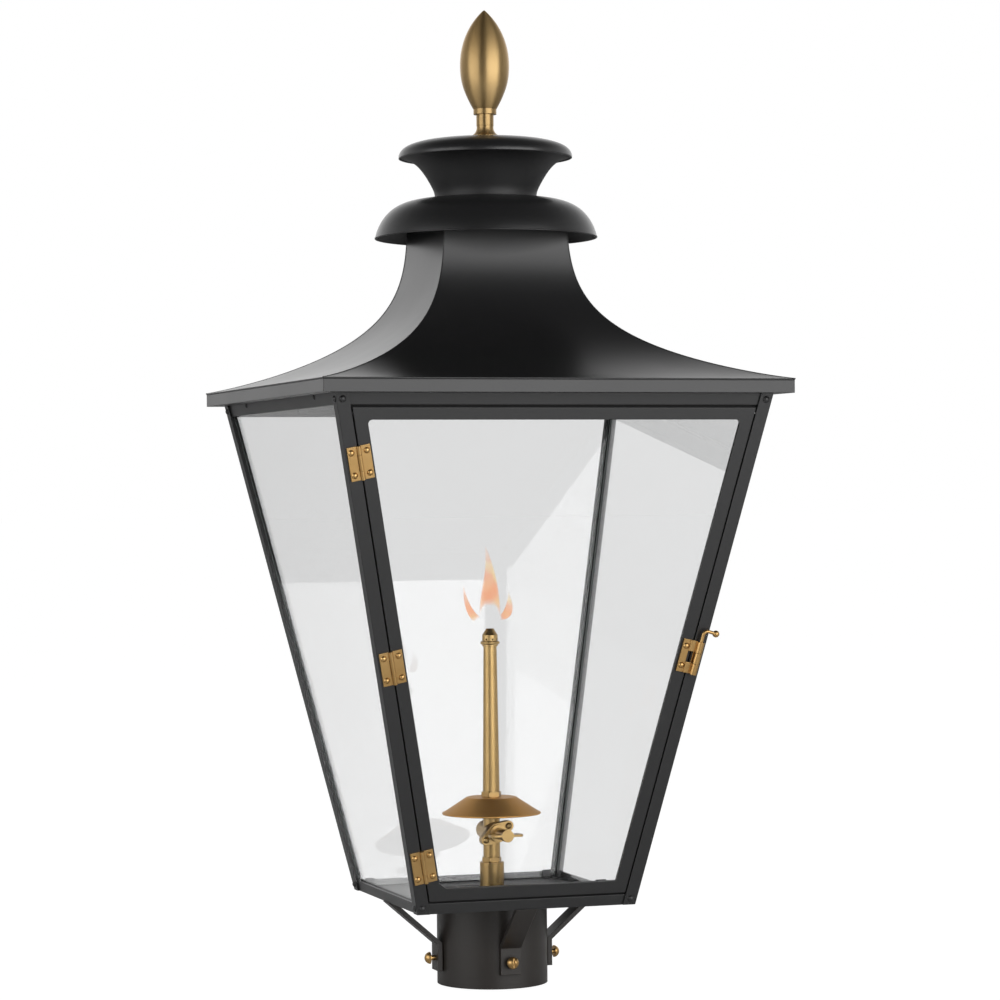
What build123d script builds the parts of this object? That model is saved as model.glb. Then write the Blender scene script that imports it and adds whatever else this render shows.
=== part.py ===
from build123d import *
import math
import os

# Post top gas lantern: a square, tapered glass lantern with a hinged front door, a curved
# roof with a domed vent, and a round fitter that slips over a post and is clamped there.
# Millimetres. The origin is the centre of the fitter's mouth, +Z is up along the post,
# and the door faces -Y. Sides are counted 0 front, 1 right, 2 back, 3 left.

# ---------------------------------------------------------------------------- dimensions

# Post fitter, its bent brackets and its clamp screws
post_radius = 38.1
post_clearance = 1.4
fitter_wall = 2.5
fitter_height = 66.1
fitter_grip = 40.0
fitter_relief = 0.6
bracket_width = 16.0
bracket_thickness = 3.6
bracket_tab_bottom_z = 11.0
bracket_bend_z = 31.0
bracket_edge_margin = 0.5
clamp_screw_z = 20.5
clamp_screw_radius = 1.9
clamp_screw_head_radius = 4.6
clamp_screw_head_height = 4.2
clamp_screw_standoff = 4.0
clamp_screw_slot_width = 1.3
clamp_screw_slot_depth = 1.5
clamp_screw_clearance = 0.05
clamp_screw_recess = 0.2

# Tapered body: outer half widths at its bottom edge and at the underside of the eave
body_bottom_half = 84.8
body_top_half = 165.7
body_height = 378.5
post_leg = 9.6
post_wall = 1.6
rail_wall = 1.6
bottom_rail_height = 7.8
top_rail_drop = 8.4
rail_flange = 11.0
base_plate_thickness = 1.5
base_plate_edge_gap = 0.4
floor_slot_length = 22.0
floor_slot_width = 5.0
floor_slot_radius = 52.0
floor_slot_count = 8

# Panes, their seat strips and their clips
glass_thickness = 3.0
glass_gap = 0.2
pane_side_margin = 7.2
pane_floor_gap = 0.15
pane_top_lap = 3.4
seat_strip_near = 3.6
seat_strip_far = 9.2
seat_strip_end_gap = 0.1
clip_thickness = 1.2
clip_width = 7.0
clip_lip = 3.0
clip_mount = 7.0
clip_rivet_from_bend = 1.9
clip_foot = 6.0
clip_rise = 5.5
clip_bottom_inset = 14.0
clip_top_inset = 64.0

# Door
door_gap = 1.3
door_end_gap_bottom = 1.9
door_end_gap_top = 2.1
door_thickness = 2.5
door_stile = 9.5
door_bottom_rail = 9.3
door_top_rail = 8.8
door_corner_radius = 3.0
door_corner_chamfer = 4.6
door_glass_lap = 2.7
door_clip_width = 8.0
door_clip_mount = 4.4
door_clip_lip = 2.3
door_clip_inset = 30.0

# Stops behind the door: two strips beside it and a rebated bar above and below it
stop_strip_depth = 2.9
stop_strip_thickness = 1.4
stop_strip_near = 3.25
stop_strip_far = 16.0
stop_strip_end_gap = 0.4
stop_bar_depth = 4.1
stop_bar_thickness = 1.5
stop_bar_rail_lap = 3.8
stop_bar_rebate = 0.4
stop_bar_door_lap = 4.6

# Butt hinges
hinge_length = 24.6
hinge_height_fractions = (0.095, 0.4835, 0.8705)
hinge_barrel_radius = 1.6
hinge_barrel_proud = 1.7
hinge_leaf_thickness = 1.2
hinge_frame_leaf_width = 6.8
hinge_door_leaf_width = 6.8
hinge_leaf_to_barrel = 0.15
hinge_knuckle_gap = 0.2
hinge_pin_radius = 0.8
hinge_pin_clearance = 0.05
hinge_rivet_offset = 5.7
hinge_rivet_spacing = 16.4

# Latch: a plate with two knuckles on the door, a keeper with one on the post, a drop pin
latch_height_fraction = 0.4893
latch_edge_distance = 5.6
latch_length = 24.7
latch_knuckle_radius = 2.6
latch_proud = 3.8
latch_plate_thickness = 1.6
latch_arm_thickness = 1.2
latch_plate_reach = 12.8
latch_window_left = 7.5
latch_knuckle_gap = 0.25
latch_keeper_width = 6.1
latch_keeper_thickness = 0.9
latch_keeper_length = 22.0
latch_pin_radius = 1.3
latch_pin_clearance = 0.05
latch_pin_rise = 6.0
latch_pin_bend_radius = 3.0
latch_pin_bend_angle = 96.0
latch_pin_arm = 6.2
latch_ball_radius = 2.6
latch_rivet_offset = 9.9
latch_rivet_spacing = 14.8

# Rivets: head radius, head height and shank radius
frame_rivet = (2.6, 1.5, 1.2)
hinge_rivet = (2.35, 1.5, 1.1)
clip_rivet = (2.0, 1.1, 1.0)
rivet_hole_clearance = 0.05
frame_rivet_edge = 4.6
frame_rivet_end = 4.6

# Eave band and roof
eave_overhang = 11.7
eave_band_height = 9.2
eave_band_wall = 2.0
soffit_thickness = 1.2
soffit_gap = 0.2
roof_overhang = 0.4
roof_sheet = 1.2
roof_collar_half = 47.9
roof_curve_rise = 175.9
roof_curve_out = 1.138
roof_curve_up = 5.0
roof_curve_points = 12
roof_collar_top_rise = 124.8
roof_seat_gap = 0.3

# Vent: hood, flared neck and cap, each a spun sheet
vent_sheet = 1.0
hood_radius = 84.9
hood_base_below_collar = 12.7
hood_rise = 32.1
hood_rounding = (5.9, 1.5)
hood_rim_cut = 2.0
hood_vent_hole_radius = 5.0
hood_vent_ring_radius = 24.0
hood_vent_hole_count = 8
neck_foot_radius = 38.9
neck_waist_radius = 39.4
neck_lip_radius = 64.6
neck_height = 31.4
cap_radius = 66.1
cap_rim_above_hood = 30.7
cap_rise = 14.6
cap_rounding = (3.57, 2.52)
dome_point_count = 10

# Bridge, tie rod, nuts and spacers that carry the vent
bridge_thickness = 3.0
bridge_width = 16.0
bridge_tab = 13.0
bridge_gap = 0.15
bridge_below_collar_top = 3.0
tie_rod_radius = 3.0
tie_rod_clearance = 0.1
tie_rod_tail = 12.0
tie_nut_radius = 5.8
tie_nut_height = 4.5
tie_nut_gap = 0.4
spacer_wall = 2.2
spacer_end_gap = 0.05

# Finial
finial_foot_radius = 11.3
finial_foot_rim = 2.6
finial_neck_radius = 6.6
finial_neck_top = 18.9
finial_collar_height = 3.9
finial_collar_radius = 8.8
finial_bud_radius = 18.75
finial_bud_height = 75.4
finial_rod_depth = 3.5

# Burner, valve and gas pipe, all on the axis
coupling_radius = 9.2
coupling_height = 24.0
nipple_radius = 7.15
nipple_thread_radius = 6.86
nipple_thread_length = 16.0
nipple_bore = 4.5
nipple_tail = 24.0
nipple_engagement = 14.0
nipple_hole_clearance = 0.3
lock_nut_radius = 10.4
lock_nut_height = 5.0
pipe_nut_radius = 7.7
pipe_nut_height = 3.8
valve_radius = 6.4
valve_height = 44.6
valve_bore = 3.0
valve_axis_rise = 19.3
valve_barrel_radius = 7.3
valve_barrel_front = 12.0
valve_barrel_back = 16.0
valve_barrel_dome = 3.0
valve_plug_radius = 4.4
valve_plug_clearance = 0.05
valve_plug_depth = 8.5
valve_plug_hole = 2.6
valve_ear_spacing = 20.6
valve_ear_angle = 30.0
valve_ear_radius = 3.9
valve_ear_thickness = 3.6
valve_flange_thickness = 2.6
valve_flange_boss_radius = 6.6
valve_flange_boss_height = 3.2
valve_spigot_radius = 4.6
valve_spigot_height = 6.5
valve_screw_radius = 1.3
valve_screw_head_radius = 2.5
valve_screw_head_height = 1.8
valve_screw_depth = 4.5
key_reach = 39.5
key_stem_radius = 4.2
key_end_radius = 4.7
key_end_length = 4.5
key_wing_span = 25.4
key_wing_depth = 11.0
key_wing_thickness = 1.7
shield_top_radius = 18.4
shield_rim_radius = 37.4
shield_drop = 11.6
shield_sheet = 1.0
burner_nut_radius = 7.9
burner_nut_height = 4.3
burner_tube_height = 110.5
burner_tube_bottom_radius = 6.4
burner_tube_top_radius = 5.1
burner_tube_bore = 3.6
burner_joint_clearance = 0.05
tip_lip_radius = 6.05
tip_lip_height = 1.3
tip_bead_radius = 7.45
tip_bead_height = 2.6
tip_body_radius = 5.95
tip_body_height = 4.6
tip_cone_height = 4.9
tip_nose_radius = 2.8
tip_bore = 1.2
tip_spigot_depth = 8.0
tip_air_hole_radius = 0.75
tip_air_hole_count = 8

# ---------------------------------------------------------------- places worked out from them

fitter_bore_radius = post_radius + post_clearance
fitter_radius = fitter_bore_radius + fitter_wall
body_bottom_z = fitter_height - rail_wall
eave_z = body_bottom_z + body_height
eave_top_z = eave_z + eave_band_height
flare = (body_top_half - body_bottom_half) / body_height
lean = math.atan(flare)
edge_tilt = math.degrees(math.atan(math.sin(lean)))

base_plate_z = fitter_height
floor_z = base_plate_z + base_plate_thickness
pane_depth = post_wall + rail_wall + glass_gap
pane_back = pane_depth + glass_thickness

eave_half = body_top_half + eave_overhang
roof_edge_half = eave_half + roof_overhang
roof_edge_z = eave_top_z + roof_sheet
collar_top_z = eave_top_z + roof_collar_top_rise
hood_base_z = collar_top_z - hood_base_below_collar
hood_crown_z = hood_base_z + hood_rise
cap_rim_z = hood_crown_z + cap_rim_above_hood
cap_crown_z = cap_rim_z + cap_rise
bridge_top_z = collar_top_z - bridge_below_collar_top
rod_hole = tie_rod_radius + tie_rod_clearance

coupling_top_z = floor_z + coupling_height
valve_bottom_z = coupling_top_z + pipe_nut_height
valve_axis_z = valve_bottom_z + valve_axis_rise
shield_seat_z = valve_bottom_z + valve_height
burner_nut_z = shield_seat_z + shield_sheet
tube_bottom_z = burner_nut_z + burner_nut_height
tip_z = tube_bottom_z + burner_tube_height


def half_width(z):
    """Outer half width of the tapered body at a height."""
    return body_bottom_half + (z - body_bottom_z) * flare


def face_half(up):
    """The same half width at a distance up along the slope of one side."""
    return body_bottom_half + up * math.sin(lean)


def level(depth):
    """Horizontal distance that a depth square to a sloping side takes."""
    return depth / math.cos(lean)


def up_slope(z, depth=0):
    """Distance up the slope of a side at a height, on its outer face or at a depth behind it."""
    return (z - body_bottom_z - depth * math.sin(lean)) / math.cos(lean)


def roof_z(half):
    """Height of the roof's outer surface where its square section has this half width."""
    out = (roof_edge_half - half) / (roof_edge_half - roof_collar_half)
    return roof_edge_z + roof_curve_rise * (1 - (1 - out ** roof_curve_out) ** (1 / roof_curve_up))


frame_top_z = roof_z(half_width(eave_top_z)) - roof_sheet / math.cos(lean) - roof_seat_gap
bottom_rail_up = bottom_rail_height / math.cos(lean)
top_rail_up = up_slope(eave_z - top_rail_drop)
door_low = bottom_rail_up + door_end_gap_bottom
door_high = top_rail_up - door_end_gap_top
door_side = post_leg + door_gap

# The plane of the front: its x runs right, its y up the slope, and its z out of the lantern
front = Plane(
    origin=(0, -body_bottom_half, body_bottom_z),
    x_dir=(1, 0, 0),
    z_dir=(0, -math.cos(lean), -math.sin(lean)),
)

# ------------------------------------------------------------------------------ shape helpers


def turn(shape, side):
    """Carry a shape made for the front round to another side."""
    return shape.rotate(Axis.Z, 90 * side)


def square_block(z0, half0, z1, half1):
    """Square block that tapers between two heights."""
    ends = [Pos(0, 0, z) * Rectangle(2 * half, 2 * half) for z, half in ((z0, half0), (z1, half1))]
    return loft(ends, ruled=True)


def body_ring(z0, z1, depth0, depth1):
    """Square ring that follows the body's taper, between two depths behind its outer face."""
    outer = square_block(z0, half_width(z0) - level(depth0), z1, half_width(z1) - level(depth0))
    inner = square_block(z0, half_width(z0) - level(depth1), z1, half_width(z1) - level(depth1))
    return outer - inner


def plate_on_front(outline, depth0, depth1):
    """Plate parallel to the front, from an outline in its plane, between two depths behind it."""
    face = front.offset(-depth1) * make_face(Polyline(*outline, close=True))
    return extrude(face, amount=depth1 - depth0, dir=front.z_dir)


def tapered_outline(low, high, margin):
    """Corners of the body's face between two heights, drawn in by a margin from its edges."""
    bottom = face_half(low) - margin
    top = face_half(high) - margin
    return [(-bottom, low), (bottom, low), (top, high), (-top, high)]


def turned(edges):
    """Solid of revolution about the lantern's axis from edges in the radius and height plane."""
    return revolve(Plane.XZ * make_face(edges), Axis.Z)


def tube(outer, inner, z0, z1):
    """Round tube on the axis."""
    return Pos(0, 0, (z0 + z1) / 2) * (Cylinder(outer, z1 - z0) - Cylinder(inner, z1 - z0))


def rod(radius, z0, z1):
    """Round bar on the axis."""
    return Pos(0, 0, (z0 + z1) / 2) * Cylinder(radius, z1 - z0)


def nut(radius, bore, z0, height):
    """Hexagon nut on the axis, its corners turned off at both ends."""
    blank = Pos(0, 0, z0) * extrude(RegularPolygon(radius, 6), amount=height)
    skim = (1 - math.cos(math.pi / 6)) * radius
    outline = Polyline(
        (0, z0),
        (radius - skim, z0),
        (radius, z0 + skim / 2),
        (radius, z0 + height - skim / 2),
        (radius - skim, z0 + height),
        (0, z0 + height),
        close=True,
    )
    return (blank & turned(outline)) - rod(bore, z0, z0 + height)


def block(x, y, z):
    """Box between two coordinates along each axis."""
    middle = Pos(sum(x) / 2, sum(y) / 2, sum(z) / 2)
    return middle * Box(x[1] - x[0], y[1] - y[0], z[1] - z[0])


def round_head(radius, height):
    """Shallow dome standing on the plane z = 0."""
    sphere_radius = (radius ** 2 + height ** 2) / (2 * height)
    half_angle = math.asin(radius / sphere_radius) / 2
    crown = height - sphere_radius
    middle = (sphere_radius * math.sin(half_angle), crown + sphere_radius * math.cos(half_angle))
    edges = [Line((0, height), (0, 0)), Line((0, 0), (radius, 0))]
    edges.append(ThreePointArc((radius, 0), middle, (0, height)))
    return turned(edges)


def rivet(sizes, grip):
    """Round head rivet: head above z = 0, shank through the grip below it."""
    head_radius, head_height, shank_radius = sizes
    return round_head(head_radius, head_height) + rod(shank_radius, -grip, head_height / 3)


def rivet_hole(sizes, depth):
    """Hole for a rivet's shank, from above z = 0 down to a depth."""
    return rod(sizes[2] + rivet_hole_clearance, -depth, depth)


def dome_points(radius, base_z, rise, rounding, hole, cut):
    """Outline of a dome from its hole out to its rim, which is cut off above its base.

    Its height above the base is rise * (1 - (r / radius)^a)^(1 / b).
    """
    out, up = rounding
    rim = radius * (1 - (cut / rise) ** up) ** (1 / out)
    first = math.asin(hole / radius)
    last = math.asin(rim / radius)
    points = []
    for i in range(dome_point_count):
        r = radius * math.sin(first + (last - first) * i / (dome_point_count - 1))
        fall = min(1.0, (r / radius) ** out)
        points.append((r, base_z + rise * (1 - fall) ** (1 / up)))
    return points


def dome_shell(radius, base_z, rise, rounding, hole, cut):
    """Spun sheet dome with a round hole in its crown and an open rim."""
    outer = dome_points(radius, base_z, rise, rounding, hole, cut)
    inner = dome_points(radius - vent_sheet, base_z, rise - vent_sheet, rounding, hole, cut)
    edges = [Spline(*outer), Line(outer[-1], inner[-1]), Spline(*inner), Line(inner[0], outer[0])]
    return turned(edges)


def shifted(points, distance):
    """Points moved sideways to the left of their line's direction."""
    moved = []
    for i, point in enumerate(points):
        before = points[max(i - 1, 0)]
        after = points[min(i + 1, len(points) - 1)]
        dx = after[0] - before[0]
        dy = after[1] - before[1]
        length = math.hypot(dx, dy)
        moved.append((point[0] - dy / length * distance, point[1] + dx / length * distance))
    return moved


# -------------------------------------------------------------------------------- post fitter


def on_side(shape, side):
    """Turn a shape whose +Z points out of the front so that it points out of one side."""
    return turn(Rot(90, 0, 0) * shape, side)


def make_post_fitter():
    """Round sleeve, bored to grip the post and relieved above, drilled for the clamp screws."""
    sleeve = tube(fitter_radius, fitter_bore_radius, 0, fitter_height)
    sleeve -= rod(fitter_bore_radius + fitter_relief, fitter_grip, fitter_height)
    for side in range(4):
        hole = rod(clamp_screw_radius + clamp_screw_clearance, fitter_bore_radius - 5, fitter_radius + 5)
        sleeve -= Pos(0, 0, clamp_screw_z) * on_side(hole, side)
    return sleeve


def make_bracket(side):
    """Bent flat bar from the fitter's wall out to the underside of the bottom frame."""
    inner = fitter_radius
    outer = fitter_radius + bracket_thickness
    reach = body_bottom_half - bracket_edge_margin
    slope = math.atan2(body_bottom_z - bracket_bend_z, reach - outer)
    bend_step = bracket_thickness * math.tan(slope / 2)
    cut = bracket_thickness / math.sin(slope)
    outline = Polyline(
        (inner, bracket_tab_bottom_z),
        (outer, bracket_tab_bottom_z),
        (outer, bracket_bend_z),
        (reach, body_bottom_z),
        (reach - cut, body_bottom_z),
        (inner, bracket_bend_z + bend_step),
        close=True,
    )
    bar = extrude(Plane.XZ * make_face(outline), amount=bracket_width / 2, both=True)
    hole = Rot(0, 90, 0) * rod(clamp_screw_radius + clamp_screw_clearance, inner - 5, outer + 5)
    bar -= Pos(0, 0, clamp_screw_z) * hole
    return turn(bar, side - 1)


def make_clamp_screw(side):
    """Slotted round head screw, backed off so that its tip is just inside the sleeve's bore."""
    seat = fitter_radius + bracket_thickness + clamp_screw_standoff
    tip = fitter_bore_radius + clamp_screw_recess
    screw = Pos(0, 0, seat) * round_head(clamp_screw_head_radius, clamp_screw_head_height)
    screw += rod(clamp_screw_radius, tip, seat + clamp_screw_head_height / 3)
    top = seat + clamp_screw_head_height
    slot_half = clamp_screw_slot_width / 2
    wide = (-clamp_screw_head_radius, clamp_screw_head_radius)
    screw -= block((-slot_half, slot_half), wide, (top - clamp_screw_slot_depth, top + 1))
    return Pos(0, 0, clamp_screw_z) * on_side(screw, side)


# --------------------------------------------------------------------------------- body frame


def frame_rivet_places():
    """Side, distance across and distance up of each rivet that joins a post to the frames."""
    places = []
    for side in range(4):
        for up in (frame_rivet_end, up_slope(eave_z) - frame_rivet_end):
            across = face_half(up) - frame_rivet_edge
            places += [(side, across, up), (side, -across, up)]
    return places


def clip_rivet_places():
    """Rivets that hold the top clips of the three fixed panes."""
    up = top_rail_up + pane_top_lap + glass_gap + clip_thickness + clip_rivet_from_bend
    across = face_half(up) - clip_top_inset
    return [(side, x, up) for side in (1, 2, 3) for x in (-across, across)]


def on_face(shape, place):
    """Put a shape made about the origin at a place on one of the four sloping sides."""
    side, across, up = place
    return turn(front.location * Pos(across, up, 0) * shape, side)


def make_corner_post(side):
    """Angle bar that leans out with the body, drilled for its rivets and hinges."""
    half = body_bottom_half
    wall = level(post_wall)
    outline = Polyline(
        (-half, -half),
        (-half + post_leg, -half),
        (-half + post_leg, -half + wall),
        (-half + wall, -half + wall),
        (-half + wall, -half + post_leg),
        (-half, -half + post_leg),
        close=True,
    )
    rise = frame_top_z - body_bottom_z
    run = Vector(-rise * flare, -rise * flare, rise)
    post = extrude(Pos(0, 0, body_bottom_z) * make_face(outline), amount=run.length, dir=run.normalized())
    post = turn(post, side)
    for place in frame_rivet_places():
        post -= on_face(rivet_hole(frame_rivet, 3 * post_wall), place)
    if side == 0:
        for height in hinge_heights():
            for up in (-hinge_rivet_spacing / 2, hinge_rivet_spacing / 2):
                hole = Pos(-hinge_rivet_offset, up, 0) * rivet_hole(hinge_rivet, 3 * post_wall)
                post -= hinge_place(height) * hole
    return post


def make_bottom_frame():
    """Square welded frame of angle bar behind the posts, which carries the floor."""
    low = body_bottom_z
    ring = body_ring(low, low + bottom_rail_height, post_wall, post_wall + rail_wall)
    ring += body_ring(low, low + rail_wall, post_wall, post_wall + rail_wall + rail_flange)
    for place in frame_rivet_places():
        ring -= on_face(rivet_hole(frame_rivet, 4 * post_wall), place)
    return ring


def make_top_frame():
    """Square welded frame of angle bar behind the posts, which carries the roof."""
    low = eave_z - top_rail_drop
    ring = body_ring(low, frame_top_z, post_wall, post_wall + rail_wall)
    ring += body_ring(frame_top_z - rail_wall, frame_top_z, post_wall, post_wall + rail_wall + rail_flange)
    for place in frame_rivet_places():
        ring -= on_face(rivet_hole(frame_rivet, 4 * post_wall), place)
    for place in clip_rivet_places():
        ring -= on_face(rivet_hole(clip_rivet, 4 * post_wall), place)
    return ring


def make_frame_rivets():
    """Rivets through the posts into the frames, and those of the fixed panes' top clips."""
    grip = post_wall + rail_wall
    rivets = [on_face(rivet(frame_rivet, grip), place) for place in frame_rivet_places()]
    for place in clip_rivet_places():
        small = Pos(0, 0, -post_wall) * rivet(clip_rivet, rail_wall + clip_thickness)
        rivets.append(on_face(small, place))
    return Compound(rivets)


def make_base_plate():
    """Floor of the lantern: a square plate with a pipe hole and a ring of air slots."""
    half = half_width(base_plate_z) - level(post_wall + rail_wall) - base_plate_edge_gap
    plate = block((-half, half), (-half, half), (base_plate_z, floor_z))
    plate -= rod(nipple_radius + nipple_hole_clearance, base_plate_z, floor_z)
    for i in range(floor_slot_count):
        slot = SlotOverall(floor_slot_length, floor_slot_width, rotation=90)
        cut = Pos(floor_slot_radius, 0, base_plate_z) * extrude(slot, amount=base_plate_thickness)
        plate -= Rot(0, 0, 360 * i / floor_slot_count) * cut
    return plate


# --------------------------------------------------------------------------------------- glass


def pane_low():
    """Distance up the slope of the lower edge of a fixed pane, just above the floor."""
    return up_slope(floor_z + pane_floor_gap, pane_depth)


def make_pane(side):
    """Fixed pane behind the frames and the posts of one side."""
    outline = tapered_outline(pane_low(), top_rail_up + pane_top_lap, pane_side_margin)
    return turn(plate_on_front(outline, pane_depth, pane_back), side)


def make_seat_strips():
    """Flat strips behind the post legs, level with the rails, that the fixed panes lie on."""
    low = bottom_rail_up + seat_strip_end_gap
    high = up_slope(eave_z - top_rail_drop, post_wall + rail_wall) - seat_strip_end_gap
    strips = []
    for side in (1, 2, 3):
        for hand in (-1, 1):
            outline = [
                (hand * (face_half(low) - seat_strip_near), low),
                (hand * (face_half(low) - seat_strip_far), low),
                (hand * (face_half(high) - seat_strip_far), high),
                (hand * (face_half(high) - seat_strip_near), high),
            ]
            strips.append(turn(plate_on_front(outline, post_wall, post_wall + rail_wall), side))
    return Compound(strips)


def bent_clip(outline, width, across):
    """Clip bent from strip: an outline in depth behind the front and distance up, made wide."""
    section = Plane(origin=front.origin, x_dir=front.y_dir, z_dir=front.x_dir)
    flat = section * make_face(Polyline(*[(up, -depth) for depth, up in outline], close=True))
    return Pos(across, 0, 0) * extrude(flat, amount=width / 2, both=True)


def step_outline(surface, glass_back, mount_end, glass_edge, lip_end):
    """Outline of a clip that lies on a surface, steps over a pane's edge and laps behind it."""
    sign = 1 if lip_end > mount_end else -1
    inner = glass_back + glass_gap
    web = glass_edge - sign * glass_gap
    return [
        (surface, mount_end),
        (surface, web),
        (inner, web),
        (inner, lip_end),
        (inner + clip_thickness, lip_end),
        (inner + clip_thickness, web - sign * clip_thickness),
        (surface + clip_thickness, web - sign * clip_thickness),
        (surface + clip_thickness, mount_end),
    ]


def make_glass_clips():
    """Clips of the fixed panes: two that stand on the floor and two under the top rail, a side."""
    clips = []
    edge = top_rail_up + pane_top_lap
    mount_end = edge + clip_thickness + clip_mount
    top = step_outline(post_wall + rail_wall, pane_back, mount_end, edge, edge - clip_lip)
    low = pane_low()
    inner = pane_back + glass_gap
    foot_up = low + clip_thickness
    foot_drop = clip_foot * math.sin(lean) / math.cos(lean)
    foot = [
        (inner, low + clip_rise),
        (inner, low - inner * flare + pane_depth * flare),
        (inner + clip_foot, low - (inner + clip_foot) * flare + pane_depth * flare),
        (inner + clip_foot, foot_up - (inner + clip_foot) * flare + pane_depth * flare),
        (inner + clip_thickness, foot_up - (inner + clip_thickness) * flare + pane_depth * flare),
        (inner + clip_thickness, low + clip_rise),
    ]
    for side in (1, 2, 3):
        for hand in (-1, 1):
            rivet_up = clip_rivet_places()[0][2]
            across = hand * (face_half(rivet_up) - clip_top_inset)
            upper = bent_clip(top, clip_width, across)
            hole = rivet_hole(clip_rivet, 6 * post_wall)
            upper -= front.location * Pos(across, rivet_up, 0) * hole
            lower = bent_clip(foot, clip_width, hand * (face_half(low) - clip_bottom_inset))
            clips += [turn(upper, side), turn(lower, side)]
    return Compound(clips)


# ---------------------------------------------------------------------------------------- door


def make_door_frame():
    """Flat cut frame with rounded upper inner corners and one cropped lower inner corner."""
    plate = plate_on_front(tapered_outline(door_low, door_high, door_side), 0, door_thickness)
    low = door_low + door_bottom_rail
    high = door_high - door_top_rail
    opening = make_face(Polyline(*tapered_outline(low, high, door_side + door_stile), close=True))
    corners = opening.vertices().sort_by(Axis.Y)
    opening = fillet(corners[2:], door_corner_radius)
    opening = chamfer(opening.vertices().sort_by(Axis.Y)[:2].sort_by(Axis.X)[0], door_corner_chamfer)
    plate -= extrude(front.offset(1) * opening, amount=door_thickness + 2, dir=-front.z_dir)
    for height in hinge_heights():
        for up in (-hinge_rivet_spacing / 2, hinge_rivet_spacing / 2):
            hole = Pos(hinge_rivet_offset, up, 0) * rivet_hole(hinge_rivet, 2 * door_thickness)
            plate -= hinge_place(height) * hole
    for up in (-latch_rivet_spacing / 2, latch_rivet_spacing / 2):
        hole = Pos(-latch_rivet_offset, up, 0) * rivet_hole(hinge_rivet, 2 * door_thickness)
        plate -= latch_place() * hole
    return plate


def door_glass_edges():
    """Lower and upper edge of the door's pane, and its margin from the body's edges."""
    low = door_low + door_bottom_rail - door_glass_lap
    high = door_high - door_top_rail + door_glass_lap
    return low, high, door_side + door_stile - door_glass_lap


def make_door_glass():
    """Pane behind the door frame."""
    low, high, margin = door_glass_edges()
    back = door_thickness + glass_gap + glass_thickness
    return plate_on_front(tapered_outline(low, high, margin), door_thickness + glass_gap, back)


def make_door_clips():
    """Clips on the back of the door frame that hold its pane, two at the foot and two on top."""
    low, high, margin = door_glass_edges()
    back = door_thickness + glass_gap + glass_thickness
    clips = []
    for edge, sign in ((low, 1), (high, -1)):
        mount_end = edge - sign * (clip_thickness + door_clip_mount)
        lip_end = edge + sign * door_clip_lip
        outline = step_outline(door_thickness, back, mount_end, edge, lip_end)
        for hand in (-1, 1):
            across = hand * (face_half(edge) - door_clip_inset)
            clips.append(bent_clip(outline, door_clip_width, across))
    return Compound(clips)


def make_door_stops():
    """Strips and bars behind the door's edges, fixed to the side strips and to the rails."""
    face = post_wall + rail_wall
    back = stop_bar_depth + stop_bar_thickness
    ends = ((bottom_rail_up, -1, door_low), (top_rail_up, 1, door_high))
    bars = []
    for rail, away, door_edge in ends:
        fixed = rail + away * stop_bar_rail_lap
        rebate = rail + away * stop_bar_rebate
        free = door_edge - away * stop_bar_door_lap
        outline = [(face, fixed), (face, rebate), (stop_bar_depth, rebate), (stop_bar_depth, free)]
        outline += [(back, free), (back, fixed)]
        width = 2 * (face_half(min(fixed, free)) - stop_strip_near)
        bars.append(bent_clip(outline, width, 0))
    low = door_low + stop_bar_door_lap + stop_strip_end_gap
    high = door_high - stop_bar_door_lap - stop_strip_end_gap
    for hand in (-1, 1):
        outline = [
            (hand * (face_half(low) - stop_strip_near), low),
            (hand * (face_half(low) - stop_strip_far), low),
            (hand * (face_half(high) - stop_strip_far), high),
            (hand * (face_half(high) - stop_strip_near), high),
        ]
        bars.append(plate_on_front(outline, stop_strip_depth, stop_strip_depth + stop_strip_thickness))
    return Compound(bars)


# -------------------------------------------------------------------------------------- hinges


def hinge_heights():
    """Distance up the slope of each hinge's middle."""
    return [fraction * up_slope(eave_z) for fraction in hinge_height_fractions]


def hinge_place(height):
    """On the front face in the door gap: x towards the door, y along the hinge line, z out."""
    across = -(face_half(height) - post_leg - door_gap / 2)
    return front.location * Pos(across, height, 0) * Rot(0, 0, edge_tilt)


def hinge_leaf(inner_x, width, knuckles):
    """Flat leaf with its knuckles; the sign of its width says on which side it lies."""
    half = hinge_length / 2
    outer_x = inner_x + width
    leaf = block(sorted((inner_x, outer_x)), (-half, half), (0, hinge_leaf_thickness))
    gap = hinge_barrel_proud - hinge_barrel_radius
    for low, high in knuckles:
        barrel = Pos(0, 0, hinge_barrel_proud) * Rot(90, 0, 0) * rod(hinge_barrel_radius, -high, -low)
        web = block(sorted((0, inner_x * 1.05)), (low, high), (gap, hinge_leaf_thickness))
        leaf += barrel + web
    bore = Pos(0, 0, hinge_barrel_proud) * Rot(90, 0, 0)
    leaf -= bore * rod(hinge_pin_radius + hinge_pin_clearance, -half, half)
    for up in (-hinge_rivet_spacing / 2, hinge_rivet_spacing / 2):
        x = math.copysign(hinge_rivet_offset, width)
        leaf -= Pos(x, up, 0) * rivet_hole(hinge_rivet, 2 * hinge_leaf_thickness)
    return leaf


def make_hinge_frame_leaves():
    """Leaves on the post, each with the two outer knuckles."""
    half = hinge_length / 2
    split = hinge_length / 4
    inner = -hinge_barrel_radius - hinge_leaf_to_barrel
    leaf = hinge_leaf(inner, -hinge_frame_leaf_width, ((split, half), (-half, -split)))
    return Compound([hinge_place(height) * leaf for height in hinge_heights()])


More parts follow.
